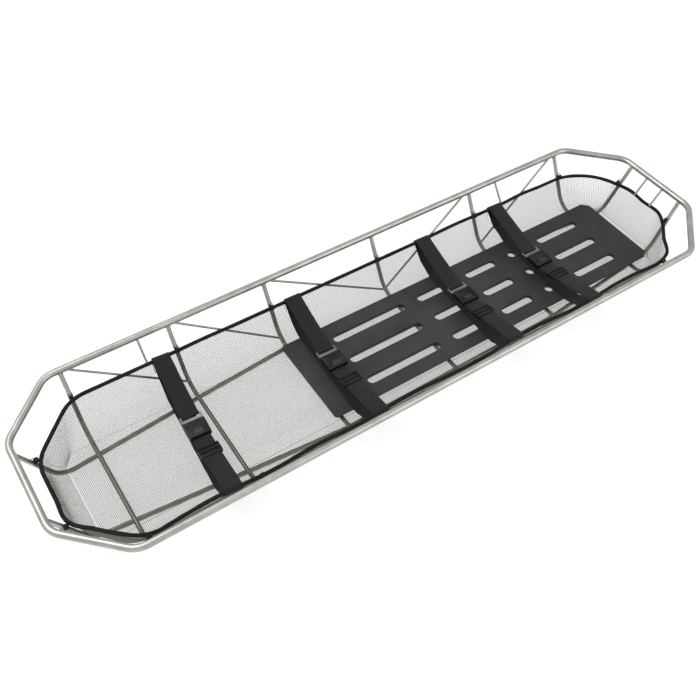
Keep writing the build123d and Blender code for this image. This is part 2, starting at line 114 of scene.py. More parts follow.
class Shape:
    """Vertices and faces gathered for one object."""

    def __init__(self):
        self.points = []
        self.faces = []

    def ring_run(self, rings, closed):
        """Skin between rings that have the same number of points, capped if it has ends."""
        start = len(self.points)
        count = len(rings[0])
        for ring in rings:
            self.points.extend(ring)
        spans = len(rings) if closed else len(rings) - 1
        for i in range(spans):
            here = start + i * count
            there = start + (i + 1) % len(rings) * count
            for j in range(count):
                k = (j + 1) % count
                self.faces.append((here + j, here + k, there + k, there + j))
        if not closed:
            last = start + (len(rings) - 1) * count
            self.faces.append(tuple(start + j for j in reversed(range(count))))
            self.faces.append(tuple(last + j for j in range(count)))

    def tube(self, path, radius, sides, closed=False, swell=None):
        """Round wire along a path. swell(i) scales the radius at point i."""
        rings = []
        for i, (place, side, up) in enumerate(path_frames(path, closed)):
            r = radius * (swell(i) if swell else 1)
            turns = [2 * math.pi * j / sides for j in range(sides)]
            rings.append([place + side * (r * math.cos(t)) + up * (r * math.sin(t)) for t in turns])
        self.ring_run(rings, closed)

    def object(self, name, material):
        """The gathered faces as one smooth object in the scene."""
        mesh = bpy.data.meshes.new(name)
        mesh.from_pydata([tuple(p) for p in self.points], [], self.faces)
        mesh.update()
        fix = bmesh.new()
        fix.from_mesh(mesh)
        bmesh.ops.recalc_face_normals(fix, faces=fix.faces)
        fix.to_mesh(mesh)
        fix.free()
        for face in mesh.polygons:
            face.use_smooth = True
        mesh.materials.append(material)
        piece = bpy.data.objects.new(name, mesh)
        bpy.context.scene.collection.objects.link(piece)
        return piece


def path_frames(path, closed):
    """Place, side and up at each point of a path, turned as little as possible."""
    points = [Vector(p) for p in path]
    count = len(points)
    frames = []
    side = None
    for i, here in enumerate(points):
        before = points[i - 1] if i or closed else here
        after = points[(i + 1) % count] if i < count - 1 or closed else here
        ahead = (after - before).normalized()
        if side is None:
            start = Vector((0, 0, 1)) if abs(ahead.z) < NEARLY_UPRIGHT else Vector((1, 0, 0))
            side = start.cross(ahead)
        side = (side - ahead * side.dot(ahead)).normalized()
        frames.append((here, side, ahead.cross(side)))
    return frames


def rounded(points, radii, steps):
    """An open path with an arc of these radii in place of each inner corner."""
    path = [Vector(points[0])]
    for before, corner, after, radius in zip(points, points[1:], points[2:], radii):
        corner = Vector(corner)
        back = (Vector(before) - corner).normalized()
        ahead = (Vector(after) - corner).normalized()
        half = back.angle(ahead) / 2
        centre = corner + (back + ahead).normalized() * (radius / math.sin(half))
        first = corner + back * (radius / math.tan(half)) - centre
        last = corner + ahead * (radius / math.tan(half)) - centre
        for step in range(steps + 1):
            path.append(centre + first.slerp(last, step / steps).normalized() * radius)
    path.append(Vector(points[-1]))
    return path


def square_to(way):
    """Two directions square to this one and to each other."""
    side = way.cross(SKEW).normalized()
    return side, way.cross(side)


def add(shape, name, material, replaced=()):
    """Finish one piece: object, body, material slot and the CAD nodes it stands for."""
    piece = shape.object(name, material)
    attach(piece, BODY)
    if replaced:
        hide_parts(*replaced)
    return piece


# Materials -------------------------------------------------------------------

def new_material(name, **sockets):
    """A Principled material whose constant sockets are set by name."""
    material = bpy.data.materials.new(name)
    material.use_nodes = True
    shader = material.node_tree.nodes["Principled BSDF"]
    for socket, value in sockets.items():
        shader.inputs[socket.replace("_", " ")].default_value = value
    return material, material.node_tree, shader


def node(tree, kind, **values):
    """A shader node with its inputs set by name; names with a capital are sockets."""
    made = tree.nodes.new(kind)
    for name, value in values.items():
        if name[0].isupper():
            made.inputs[name.replace("_", " ")].default_value = value
        else:
            setattr(made, name, value)
    return made


def place_of(tree):
    """Object coordinates in metres."""
    return node(tree, "ShaderNodeTexCoord").outputs["Object"]


def noise(tree, where, scale, detail, roughness=0.5):
    """Cloudy values from 0 to 1."""
    made = node(tree, "ShaderNodeTexNoise", Scale=scale, Detail=detail, Roughness=roughness)
    tree.links.new(where, made.inputs["Vector"])
    return made.outputs["Fac"]


def ramp(tree, value, low, high, dark, light):
    """Colour between two shades as a value goes from low to high."""
    made = node(tree, "ShaderNodeValToRGB")
    made.color_ramp.elements[0].position = low
    made.color_ramp.elements[1].position = high
    made.color_ramp.elements[0].color = (*dark, 1)
    made.color_ramp.elements[1].color = (*light, 1)
    tree.links.new(value, made.inputs["Fac"])
    return made.outputs["Color"]


def spread(tree, value, low, high):
    """The same value mapped from 0..1 to low..high."""
    made = node(tree, "ShaderNodeMapRange", To_Min=low, To_Max=high)
    tree.links.new(value, made.inputs["Value"])
    return made.outputs["Result"]


def bump(tree, shader, value, distance):
    """Relief of this depth, in metres."""
    made = node(tree, "ShaderNodeBump", Distance=distance, Strength=1.0)
    tree.links.new(value, made.inputs["Height"])
    tree.links.new(made.outputs["Normal"], shader.inputs["Normal"])


SHADE_FADE_OVER = 12 * MM                    # height over which the painted shade in the basket fades to the tube's full colour


def painted_shade_below(tree, colour, height, share):
    """The colour, scaled by share below a height: painted shade on the tube down in the basket."""
    place = node(tree, "ShaderNodeNewGeometry")
    split = node(tree, "ShaderNodeSeparateXYZ")
    tree.links.new(place.outputs["Position"], split.inputs["Vector"])
    shade_fade = node(tree, "ShaderNodeMapRange", To_Min=share)
    shade_fade.inputs["From Min"].default_value = height - SHADE_FADE_OVER
    shade_fade.inputs["From Max"].default_value = height
    tree.links.new(split.outputs["Z"], shade_fade.inputs["Value"])
    scaled = node(tree, "ShaderNodeVectorMath", operation="SCALE")
    tree.links.new(colour, scaled.inputs["Vector"])
    tree.links.new(shade_fade.outputs["Result"], scaled.inputs["Scale"])
    return scaled.outputs["Vector"]


def steel(name, dark, light, rough, basket_shade):
    """Satin stainless steel: fine grain and cloudy polish, with painted shade darkening it down in
    the basket.
    """
    material, tree, shader = new_material(name, Metallic=1.0)
    clouds = noise(tree, place_of(tree), 22, 4)
    colour = ramp(tree, clouds, 0.3, 0.7, dark, light)
    # Painted shade: the colour is darkened below the rim's height, down in the basket.
    if basket_shade < 1:
        colour = painted_shade_below(tree, colour, RIM_Z, basket_shade)
    tree.links.new(colour, shader.inputs["Base Color"])
    marks = noise(tree, place_of(tree), 260, 5, 0.65)
    tree.links.new(spread(tree, marks, rough - 0.1, rough + 0.12), shader.inputs["Roughness"])
    bump(tree, shader, marks, 0.00012)
    return material


def plastic(name, dark, light, rough, grain_scale, grain_depth, shine):
    """Moulded plastic or rubber: a fine grain, cloudy wear and a slightly uneven sheen."""
    material, tree, shader = new_material(name, Specular_IOR_Level=shine)
    where = place_of(tree)
    wear = noise(tree, where, 9, 6, 0.6)
    tree.links.new(ramp(tree, wear, 0.35, 0.75, dark, light), shader.inputs["Base Color"])
    tree.links.new(spread(tree, wear, rough - 0.08, rough + 0.1), shader.inputs["Roughness"])
    bump(tree, shader, noise(tree, where, grain_scale, 2), grain_depth)
    return material


def weave_coordinate(tree, part):
    """Across (X) or along (Y) the webbing in millimetres, from the mesh's own attribute."""
    source = node(tree, "ShaderNodeAttribute", attribute_name="weave")
    split = node(tree, "ShaderNodeSeparateXYZ")
    tree.links.new(source.outputs["Vector"], split.inputs["Vector"])
    return split.outputs[part]


def wave(tree, value, length):
    """A 0..1 wave along a coordinate, with this length from crest to crest."""
    angle = combine(tree, "MULTIPLY", value, 2 * math.pi / length)
    sine = node(tree, "ShaderNodeMath", operation="SINE")
    tree.links.new(angle, sine.inputs[0])
    return combine(tree, "ADD", combine(tree, "MULTIPLY", sine.outputs[0], 0.5), 0.5)


def combine(tree, operation, first, second):
    """Two values, or a value and a number, joined by one operation."""
    made = node(tree, "ShaderNodeMath", operation=operation)
    for i, value in enumerate((first, second)):
        if isinstance(value, (int, float)):
            made.inputs[i].default_value = value
        else:
            tree.links.new(value, made.inputs[i])
    return made.outputs[0]


WARP_PITCH, WEFT_PITCH = 1.4, 2.2      # yarn spacing of the webbing, in millimetres


def webbing_material():
    """Black polyester webbing: twill of warp yarns over weft, dusty high spots, soft sheen."""
    material, tree, shader = new_material("webbing", Sheen_Weight=0.08, Sheen_Roughness=0.5)
    shader.inputs["Specular IOR Level"].default_value = 0.18
    across = weave_coordinate(tree, "X")
    warp = wave(tree, across, WARP_PITCH)
    twill = combine(tree, "MULTIPLY", across, WEFT_PITCH / (4 * WARP_PITCH))
    weft = wave(tree, combine(tree, "ADD", weave_coordinate(tree, "Y"), twill), WEFT_PITCH)
    crest = combine(tree, "POWER", warp, 0.5)
    yarn = combine(tree, "MULTIPLY", crest, spread(tree, weft, 0.45, 1.0))
    dust = noise(tree, place_of(tree), 35, 5)
    tone = combine(tree, "MULTIPLY", yarn, spread(tree, dust, 0.6, 1.1))
    colour = ramp(tree, tone, 0.1, 0.9, (0.003, 0.003, 0.003), (0.022, 0.0215, 0.021))
    tree.links.new(colour, shader.inputs["Base Color"])
    tree.links.new(spread(tree, yarn, 0.85, 0.6), shader.inputs["Roughness"])
    bump(tree, shader, yarn, 0.0004)
    return material


# Wire mesh liner ---------------------------------------------------------------

WIRE_PITCH = 4.0 * MM
WIRE_R = 0.48 * MM
WIRE_SIDES = 4
WIRE_LAP = WIRE_R * 0.95                # crossing wires press into each other a little
WIRE_UNDER_RIM = 1.5 * MM               # the wires end this far under the rim's middle
TOP_WIRE_ROOM = 9 * MM                  # no level wire this close to the rim
HEM_R, HEM_SIDES = 0.9 * MM, 6
HEM_BEND, HEM_CUT = 5 * MM, 0.3         # the hem's corner: its legs, and how far it is cut off
BOW_REACH = 50 * MM                     # the wall follows the rim's bends over this height
BOW_STEP, RIM_STEP = 25 * MM, 12 * MM   # points this close together follow the bends
LINER_OFFSET = RIB_R + 1.1 * MM         # middle of the mesh, inside the ribs' centre line
LINER_R = RIB_BEND - LINER_OFFSET
FLOOR_X, FLOOR_END_Y, FLOOR_CHAMFER_X, FLOOR_ROUND = 959 * MM, 105 * MM, 930 * MM, 25 * MM
TOP_X = RIM_X + 6.4 * MM                # where the end walls would reach the rim's height
RIM_END_Y, RIM_CHAMFER_X, RIM_ROUND = 97 * MM, 876 * MM, 105 * MM
WALL_ARC = LINER_R * BEND_TURN
WALL_TOP = WALL_ARC + (RIM_Z - BEND_CENTRE_Z + LINER_R * math.cos(BEND_TURN)) / math.cos(LEAN)
ARC_STEPS = 7
WALL_STEPS, WALL_ROOM = 14, 7 * MM      # outlines up the wall, and their stop under the rim
CROSS_STEEP, ALONG_STEEP = 1.6, 1.18    # plan slopes where each family of wires stops or starts


def wall_point(height_up):
    """Half-width and height this far up the wall from the edge of the flat floor."""
    turn = min(height_up, WALL_ARC) / LINER_R
    straight = max(height_up - WALL_ARC, 0)
    y = FLAT_Y + LINER_R * math.sin(turn) + straight * math.sin(LEAN)
    z = BEND_CENTRE_Z - LINER_R * math.cos(turn) + straight * math.cos(LEAN)
    return y, z


TOP_Y = wall_point(WALL_TOP)[0]


def quarter(half_x, end_y, chamfer_x, half_y, bend):
    """One quarter of a chamfered outline, from the long side to the end, as (x, y)."""
    corners = [(0, half_y), (chamfer_x, half_y), (half_x, end_y), (half_x, 0)]
    return [(p.x, p.y) for p in rounded(corners, (bend, bend), ARC_STEPS)]


def wall_outline(height_up):
    """Quarter outline and height of the liner this far up its wall."""
    y, z = wall_point(height_up)
    part = (y - FLAT_Y) / (TOP_Y - FLAT_Y)
    outline = quarter(
        FLOOR_X + part * (TOP_X - FLOOR_X),
        FLOOR_END_Y + part * (RIM_END_Y - FLOOR_END_Y),
        FLOOR_CHAMFER_X + part * (RIM_CHAMFER_X - FLOOR_CHAMFER_X),
        y,
        FLOOR_ROUND + part * (RIM_ROUND - FLOOR_ROUND),
    )
    return outline, z


def rim_outline():
    """Quarter outline of the rim's centre line."""
    return quarter(RIM_X, RIM_END_Y, RIM_CHAMFER_X, RIM_Y, RIM_ROUND)


def crossing(outline, value, axis):
    """The other coordinate where an outline crosses x or y = value, and the slope there."""
    other = 1 - axis
    for first, second in zip(outline, outline[1:]):
        low, high = sorted((first[axis], second[axis]))
        if low <= value <= high and high > low:
            part = (value - first[axis]) / (second[axis] - first[axis])
            found = first[other] + part * (second[other] - first[other])
            run = max(abs(second[0] - first[0]), 1e-9)
            return found, abs(second[1] - first[1]) / run
    return None, 0


def levels():
    """Outlines from the floor up to just under the rim, and last the rim's own line."""
    top = WALL_TOP - WALL_ROOM
    made = [wall_outline(top * i / WALL_STEPS) for i in range(WALL_STEPS + 1)]
    made.append((rim_outline(), RIM_Z - WIRE_UNDER_RIM))
    return made


def climb(steps, value, axis, ok):
    """Points up the wall in the plane x or y = value: a list of (distance, height)."""
    points = []
    for outline, z in steps:
        found, slope = crossing(outline, value, axis)
        if found is not None and ok(slope):
            points.append((found, z))
        elif points:
            break
    return points


def spaced(limit, pitch):
    """Evenly spaced values from -limit to limit."""
    count = int(limit / pitch)
    return [i * pitch for i in range(-count, count + 1)]


def strap_x(strap, y):
    """Where a strap's middle is at this y."""
    return strap["x"] - y * math.tan(strap["turn"])


# Straps: the frame of each is read from its latch's hinge ------------------------------

PIVOT_UP = 6.1 * MM                     # the latch pin, above the strap frame's origin
GAP_HALF = 26.5 * MM                    # half-width of the gap in the mesh at each strap
GAP_FOOT = RAIL_Z - 101 * MM            # the gap runs from here up to the rim


def strap_frames():
    """Each strap's origin, direction across it, direction along it and turn."""
    straps = []
    for number in range(1, 5):
        hinge = next(j for j in frame["joints"] if j["name"] == "latch_%d_rock" % number)
        across = Vector(hinge["axis"])
        along = Vector((-across.y, across.x, 0))
        origin = Vector(hinge["pos_m"]) - Vector((0, 0, PIVOT_UP))
        strap = {"origin": origin, "across": across, "along": along}
        strap["x"] = origin.x
        strap["turn"] = math.atan2(across.y, across.x)
        straps.append(strap)
    return straps


STRAPS = strap_frames()


def in_strap_gap(x, y):
    """Whether a strap passes through the wall here."""
    return any(abs(x - strap_x(strap, y)) < GAP_HALF for strap in STRAPS)


def cut_at_gap(arm, x):
    """A side-wall wire stops under the gap where a strap passes; arm is [(y, z), ...]."""
    if in_strap_gap(x, arm[-1][0]):
        return [(y, z) for y, z in arm if z < GAP_FOOT]
    return arm


def cross_wires(shape):
    """Wires across the stretcher: up one wall, over the floor and up the other."""
    steps = levels()
    for x in spaced(TOP_X, WIRE_PITCH):
        right = climb(steps, abs(x), 0, lambda slope: slope < CROSS_STEEP)
        if len(right) < 2:
            continue
        arms = [cut_at_gap([(side * y, z) for y, z in right], x) for side in (-1, 1)]
        if right[0][1] == steps[0][1]:
            path = [rim_bow(Vector((x, y, z + WIRE_LAP))) for y, z in arms[0][::-1] + arms[1]]
            shape.tube(path, WIRE_R, WIRE_SIDES)
        else:
            for arm in arms:
                if len(arm) > 1:
                    path = [rim_bow(Vector((x, y, z))) for y, z in arm]
                    shape.tube(path, WIRE_R, WIRE_SIDES)


def long_wires(shape):
    """Wires along the floor that climb both end walls."""
    steps = levels()
    for y in spaced(FLAT_Y, WIRE_PITCH):
        head = climb(steps, abs(y), 1, lambda slope: slope > ALONG_STEEP)
        start = crossing(steps[0][0], abs(y), 1)[0]
        if not head or head[0][1] != steps[0][1]:
            head = [(start, steps[0][1])]
        foot = [(-x, z) for x, z in head[::-1]]
        path = [rim_bow(Vector((x, y, z - WIRE_LAP))) for x, z in foot + head]
        shape.tube(path, WIRE_R, WIRE_SIDES)


def loop_points(outline, z):
    """A whole closed outline from its quarter."""
    first = outline[1:-1]
    points = [(x, y, z) for x, y in first]
    points += [(x, -y, z) for x, y in first[::-1]]
    points += [(-x, -y, z) for x, y in first]
    points += [(-x, y, z) for x, y in first[::-1]]
    return points


def stepped(points, step, closed):
    """The same line with its points no more than about a step apart."""
    ends = points[1:] + (points[:1] if closed else [])
    made = []
    for first, last in zip(points, ends):
        first, last = Vector(first), Vector(last)
        count = max(1, round((last - first).length / step))
        made += [first.lerp(last, part / count) for part in range(count)]
    return made if closed else made + [Vector(points[-1])]


def level_wire(shape, points, closed=False):
    """A level wire of the wall; near the rim it follows the rim's bends."""
    if points[0][2] > RIM_Z - BOW_REACH:
        points = [rim_bow(point) for point in stepped(points, BOW_STEP, closed)]
    shape.tube(points, WIRE_R, WIRE_SIDES, closed=closed)


def round_wires(shape):
    """Level wires round the walls, broken where the straps pass."""
    count = int((WALL_TOP - TOP_WIRE_ROOM) / WIRE_PITCH)
    for i in range(count + 1):
        outline, z = wall_outline(i * WIRE_PITCH)
        if z > GAP_FOOT:
            broken_loop(shape, outline, z)
        else:
            level_wire(shape, loop_points(outline, z), closed=True)


def broken_loop(shape, outline, z):
    """One level wire as the stretches between the strap gaps."""
    y = outline[0][1]
    end = outline[1:-1]
    for side in (-1, 1):
        edges = sorted(strap_x(strap, side * y) for strap in STRAPS)
        for first, second in zip(edges, edges[1:]):
            ends = [(first + GAP_HALF, side * y, z), (second - GAP_HALF, side * y, z)]
            level_wire(shape, ends)
    for end_side, chosen in ((-1, min), (1, max)):
        stops = []
        for side in (-1, 1):
            edge = chosen(strap_x(strap, side * y) for strap in STRAPS)
            stops.append((edge + end_side * GAP_HALF, side * y, z))
        there = [(end_side * px, -py, z) for px, py in end]
        back = [(end_side * px, py, z) for px, py in end[::-1]]
        level_wire(shape, [stops[0]] + there + back + [stops[1]])


def gap_borders(shape):
    """A heavier wire hems each strap gap: down from the rim, across and up to it again."""
    for strap in STRAPS:
        for side in (-1, 1):
            corners = []
            for z, part in ((RIM_Z, -1), (GAP_FOOT, -1), (GAP_FOOT, 1), (RIM_Z, 1)):
                up = WALL_ARC + (z - wall_point(WALL_ARC)[1]) / math.cos(LEAN)
                y = side * wall_point(up)[0]
                corners.append(Vector((strap_x(strap, y) + part * GAP_HALF, y, z)))
            path = [corners[0]]
            for before, corner, after in zip(corners, corners[1:3], corners[2:]):
                back = (before - corner).normalized() * HEM_BEND
                ahead = (after - corner).normalized() * HEM_BEND
                path += [corner + back, corner + (back + ahead) * HEM_CUT, corner + ahead]
            path.append(corners[3])
            shape.tube([rim_bow(point) for point in path], HEM_R, HEM_SIDES)


def wire_liner(material):
    """The mesh liner as woven wires in place of the CAD's sheets."""
    shape = Shape()
    cross_wires(shape)
    add(shape, "liner_cross_wires", material, ("mesh_floor",))
    shape = Shape()
    long_wires(shape)
    round_wires(shape)
    walls = ("mesh_wall_left", "mesh_wall_right", "mesh_foot_end", "mesh_head_end")
    add(shape, "liner_long_wires", material, walls)
    shape = Shape()
    gap_borders(shape)
    add(shape, "liner_gap_borders", material)


# Webbing -------------------------------------------------------------------------

WEB_W, WEB_T = 50 * MM, 1.8 * MM
WEB_UP = 3.25 * MM                      # middle of the webbing at the buckle
WRAP_GAP = 0.5 * MM
TONGUE_BAR = (45 * MM, 52 * MM)         # the tongue's webbing bar, from and to
TONGUE_Z = (2 * MM, 4.5 * MM)
BAR_CLEAR = 0.15 * MM                   # between the webbing and that bar
BAR_EDGE = 1.2 * MM                     # from the bar's edge to the middle of the bend round it
OVER_BAR = 1 * MM                       # the webbing leaves the bar this far past it
TAIL, TAIL_UP = 8 * MM, 0.4 * MM        # length and extra rise of the end, from under the bar
PLY_PITCH = WEB_T * 1.02                # between the middles of two plies sewn together
FAR_START = TONGUE_BAR[1] + 1.3 * MM
HOUSING_MOUTH = -29.3 * MM
SLACK_UP = -36.85 * MM                  # slack ply on the board
STRAP_1_SLACK = 11 * MM                 # it lies lower where there is no board
SLACK_Y, LOW_Y, LOW_UP = 158 * MM, 200 * MM, -13.75 * MM
SLACK_BEND, LOW_BEND = 60 * MM, 35 * MM
SLACK_DRIFT = (0, 0, 6 * MM, 14 * MM)   # the slack ply lies this far headward of the upper one
DRIFT_FROM, DRIFT_OVER = 2 * MM, 25 * MM
UPPER_STEPS, WRAP_STEPS, LOOP_STEPS, SLACK_STEPS = 24, 10, 8, 8
FAR_SAG = 2 * MM                        # of the upper ply on the tongue's side
WANDER = 0.5 * MM                       # how far the webbing strays sideways
TIP = WANDER * 0.9                      # and how far its two edges tip apart
WANDER_RATE, TIP_RATE = 17, 11          # radians per metre of these waves
SEWN = 62 * MM                          # length of the webbing's end sewn to the upper ply
SEWN_LIFT = 1.1 * MM                    # the upper ply rides over the bar by this much
STITCH_R, STITCH_SIDES, STITCH_PITCH = 0.42 * MM, 5, 3.4 * MM
STITCH_SPAN = (0.14, 0.86)              # part of the pitch that shows as thread
STITCH_RISE = ((0, -0.3 * MM), (0.25, 0.28 * MM), (0.75, 0.28 * MM), (1, -0.3 * MM))
BOX_HALF, BOX_FROM, BOX_TO = 19 * MM, 16 * MM, 54 * MM      # square of stitches, past the bar


def rim_at(strap, side):
    """The rim's centre where a strap goes round it, as (distance out, height)."""
    point = rim_bow(Vector((strap_x(strap, side * RIM_Y), side * RIM_Y, RIM_Z)))
    return abs(point.y), point.z - strap["origin"].z


def wrap_touch(y, z, rim_centre, radius, outside):
    """Where a run from (y, z) touches the circle round the rim: its top or its outside."""
    rim_y, rim_z = rim_centre
    away = math.atan2(z - rim_z, y - rim_y)
    half = math.acos(radius / math.hypot(z - rim_z, y - rim_y))
    angle = away + (half if outside else -half)
    return rim_y + radius * math.cos(angle), rim_z + radius * math.sin(angle)


def wrap_arc(y, z, rim_centre, radius):
    """Points from the top of the rim round its outside to where the slack ply leaves it."""
    rim_y, rim_z = rim_centre
    top = wrap_touch(y, z, rim_centre, radius, False)
    under = wrap_touch(LOW_Y, LOW_UP, rim_centre, radius, True)
    first = math.atan2(top[1] - rim_z, top[0] - rim_y)
    last = math.atan2(under[1] - rim_z, under[0] - rim_y)
    turns = [first + (last - first) * i / WRAP_STEPS for i in range(WRAP_STEPS + 1)]
    return [(rim_y + radius * math.cos(t), rim_z + radius * math.sin(t)) for t in turns]


def upper_run(end_y, rim_centre, radius, sign, sag):
    """One side of the upper ply as (y, z), from the buckle to the rim's top."""
    top = wrap_touch(end_y, WEB_UP, rim_centre, radius, False)
    points = []
    for i in range(UPPER_STEPS + 1):
        part = i / UPPER_STEPS
        y = end_y + (top[0] - end_y) * part
        z = WEB_UP + (top[1] - WEB_UP) * part - sag * math.sin(math.pi * part)
        points.append((sign * y, z))
    return points


def strap_line(strap, number):
    """Whole line of one webbing as (y, z): tongue, far rim, slack ply, near rim, housing."""
    radius = RIM_R + WEB_T / 2 + WRAP_GAP + WEB_W / 2 * math.tan(abs(strap["turn"]))
    slack = SLACK_UP - (STRAP_1_SLACK if number == 1 else 0)
    far_rim, near_rim = rim_at(strap, 1), rim_at(strap, -1)
    far_arc = wrap_arc(FAR_START, WEB_UP, far_rim, radius)
    near_arc = wrap_arc(-HOUSING_MOUTH, WEB_UP, near_rim, radius)
    near_arc = [(-y, z) for y, z in near_arc]
    far_side = [far_arc[-1], (LOW_Y, LOW_UP), (SLACK_Y, slack)]
    near_side = [(-SLACK_Y, slack), (-LOW_Y, LOW_UP), near_arc[-1]]
    bends = (LOW_BEND, SLACK_BEND, SLACK_BEND, LOW_BEND)
    under = [tuple(p) for p in rounded(far_side + near_side, bends, SLACK_STEPS)]
    far = upper_run(FAR_START, far_rim, radius, 1, FAR_SAG)
    near = upper_run(-HOUSING_MOUTH, near_rim, radius, -1, 0)
    return far + far_arc[1:] + under[1:-1] + near_arc[::-1][:-1] + near[::-1]


def ribbon_section():
    """Webbing section as (across, up): flat faces and rounded selvedges."""
    half, edge = WEB_W / 2, WEB_T / 2
    top = [(x, edge) for x in (half - edge, half / 2, 0, -half / 2, edge - half)]
    left = [(edge * 0.3 - half, edge * 0.7), (-half, 0), (edge * 0.3 - half, -edge * 0.7)]
    return top + left + [(-x, -y) for x, y in top] + [(-x, -y) for x, y in left]


def ribbon(shape, weave, strap, line, phase, drift):
    """Webbing along a line of (y, z) in a strap's frame, with its weave coordinates."""
    rings = []
    travelled = 0.0
    section = ribbon_section()
    for i, (y, z) in enumerate(line):
        before, after = line[max(i - 1, 0)], line[min(i + 1, len(line) - 1)]
        ahead = Vector((after[0] - before[0], after[1] - before[1])).normalized()
        if i:
            travelled += math.hypot(y - line[i - 1][0], z - line[i - 1][1])
        low = min(max((DRIFT_FROM - z) / DRIFT_OVER, 0), 1)
        shift = WANDER * math.sin(travelled * WANDER_RATE + phase) + drift * low
        tip = TIP * math.sin(travelled * TIP_RATE + phase * 2) / WEB_W
        ring = []
        for across, up in section:
            lift = up + across * tip
            place = strap["origin"] + strap["across"] * (across + shift)
            place += strap["along"] * (y - ahead.y * lift) + Vector((0, 0, z + ahead.x * lift))
            ring.append(place)
            weave.append((across / MM, travelled / MM, 0))
        rings.append(ring)
    shape.ring_run(rings, False)


def tongue_loop():
    """The webbing's end: down through the tongue's slot, round its bar and back under."""
    inner, outer = TONGUE_BAR
    clear = WEB_T / 2 + BAR_CLEAR
    middle_z = (TONGUE_Z[0] + TONGUE_Z[1]) / 2
    radius = (TONGUE_Z[1] - TONGUE_Z[0]) / 2 + clear
    bend = []
    for i in range(LOOP_STEPS + 1):
        turn = math.pi / 2 + math.pi * i / LOOP_STEPS
        y = inner + BAR_EDGE + radius * math.cos(turn)
        bend.append((y, middle_z + radius * math.sin(turn)))
    lower_end = [(outer, middle_z - radius), (outer + TAIL, middle_z - clear + TAIL_UP)]
    return bend, lower_end


def stitch_line(shape, strap, first, last, lift):
    """A row of stitches from one (across, y) to another, lying on a sloping run."""
    first, last = Vector(first), Vector(last)
    count = int((last - first).length / STITCH_PITCH)
    for i in range(count):
        start, stop = (first.lerp(last, (i + part) / count) for part in STITCH_SPAN)
        path = []
        for part, rise in STITCH_RISE:
            across, y = start.lerp(stop, part)
            place = strap["origin"] + strap["across"] * across + strap["along"] * y
            path.append(place + Vector((0, 0, lift(y) + rise)))
        shape.tube(path, STITCH_R, STITCH_SIDES)


def box_stitch(shape, strap, lift):
    """The square with crossed diagonals that holds a webbing end."""
    low, high = TONGUE_BAR[1] + BOX_FROM, TONGUE_BAR[1] + BOX_TO
    corners = [(-BOX_HALF, low), (BOX_HALF, low), (BOX_HALF, high), (-BOX_HALF, high)]
    for i in range(4):
        stitch_line(shape, strap, corners[i], corners[(i + 1) % 4], lift)
    stitch_line(shape, strap, corners[0], corners[2], lift)
    stitch_line(shape, strap, corners[1], corners[3], lift)


def line_height(line, y):
    """Height of the first stretch of a line that passes over this y."""
    for (y0, z0), (y1, z1) in zip(line, line[1:]):
        if min(y0, y1) <= y <= max(y0, y1) and y1 != y0:
            return z0 + (z1 - z0) * (y - y0) / (y1 - y0)
    return line[0][1]


def raised_over_bar(line):
    """The line with its first run, the upper ply, lifted where it passes over the bar."""
    made = list(line)
    for i in range(UPPER_STEPS + 1):
        y, z = line[i]
        near = max(0, 1 - (y - TONGUE_BAR[1]) / SEWN) if y > TONGUE_BAR[1] else 0
        made[i] = (y, z + near * SEWN_LIFT)
    return made


def webbings(material, thread):
    """Each strap's webbing and the stitches that hold its end."""
    bend, lower_end = tongue_loop()
    over = [(TONGUE_BAR[1] + OVER_BAR, bend[0][1])]
    for number, strap in enumerate(STRAPS, 1):
        line = raised_over_bar(strap_line(strap, number))
        upper = line[2:UPPER_STEPS + 1]
        under = [(y, z - PLY_PITCH) for y, z in upper if y < TONGUE_BAR[1] + SEWN]
        whole = under[::-1] + lower_end[::-1] + bend[::-1] + over + line[1:]
        shape, weave = Shape(), []
        ribbon(shape, weave, strap, whole, number, SLACK_DRIFT[number - 1])
        name = "strap_%d_webbing" % number
        piece = add(shape, "webbing_%d" % number, material, (name,))
        store = piece.data.attributes.new("weave", "FLOAT_VECTOR", "POINT")
        store.data.foreach_set("vector", [value for point in weave for value in point])
        stitches = Shape()
        box_stitch(stitches, strap, lambda y: line_height(line, y) + WEB_T / 2)
        add(stitches, "stitching_%d" % number, thread)


# Rim -----------------------------------------------------------------------------

SLEEVE_R, CORE_R = RIM_R * 0.98, RIM_R * 0.55
SLEEVE_SIDES, CORE_SIDES = 12, 8
WRINKLE = 0.035                         # the sleeve's radius varies by this share

# Bends of the rim, which is not quite straight or level, in millimetres: where each is and
# how far it reaches (x, y, half-length), and how far it moves the rim (dx, dy, dz)
RIM_BENDS = (
    ((-480, 237, 110), (0, -1, 3)),
    ((-60, 237, 170), (0, -1, 1)),
    ((420, 237, 130), (0, 1, 2)),
    ((700, 237, 90), (0, 2, 2)),
    ((950, 165, 140), (14, 15, 4)),
    ((912, -205, 60), (5, -6, 0)),
    ((-100, -237, 190), (0, 7, 0)),
    ((320, -237, 200), (0, 9, 0)),
    ((700, -237, 190), (0, 9, 0)),
    ((-700, -237, 190), (0, 8, 0)),
    ((-400, -237, 140), (0, 5, 0)),
    ((-1006, -100, 70), (-7, -4, 0)),
    ((-950, -165, 90), (-2, -2, -2)),
    ((1014, 45, 75), (9, 0, 3)),
    ((1014, -50, 75), (13, 0, -1)),
)


def rim_bow(point):
    """A point of the rim, or of the wall near it, moved as the rim is bent there."""
    part = min(1 - (RIM_Z - WIRE_UNDER_RIM - point.z) / BOW_REACH, 1)
    if part <= 0:
        return point
    moved = point.copy()
    for (x, y, reach), shift in RIM_BENDS:
        away = math.hypot(point.x / MM - x, point.y / MM - y) / reach
        if away < 1:
            moved += Vector(shift) * (MM * part ** 2 * math.cos(math.pi / 2 * away) ** 2)
    return moved


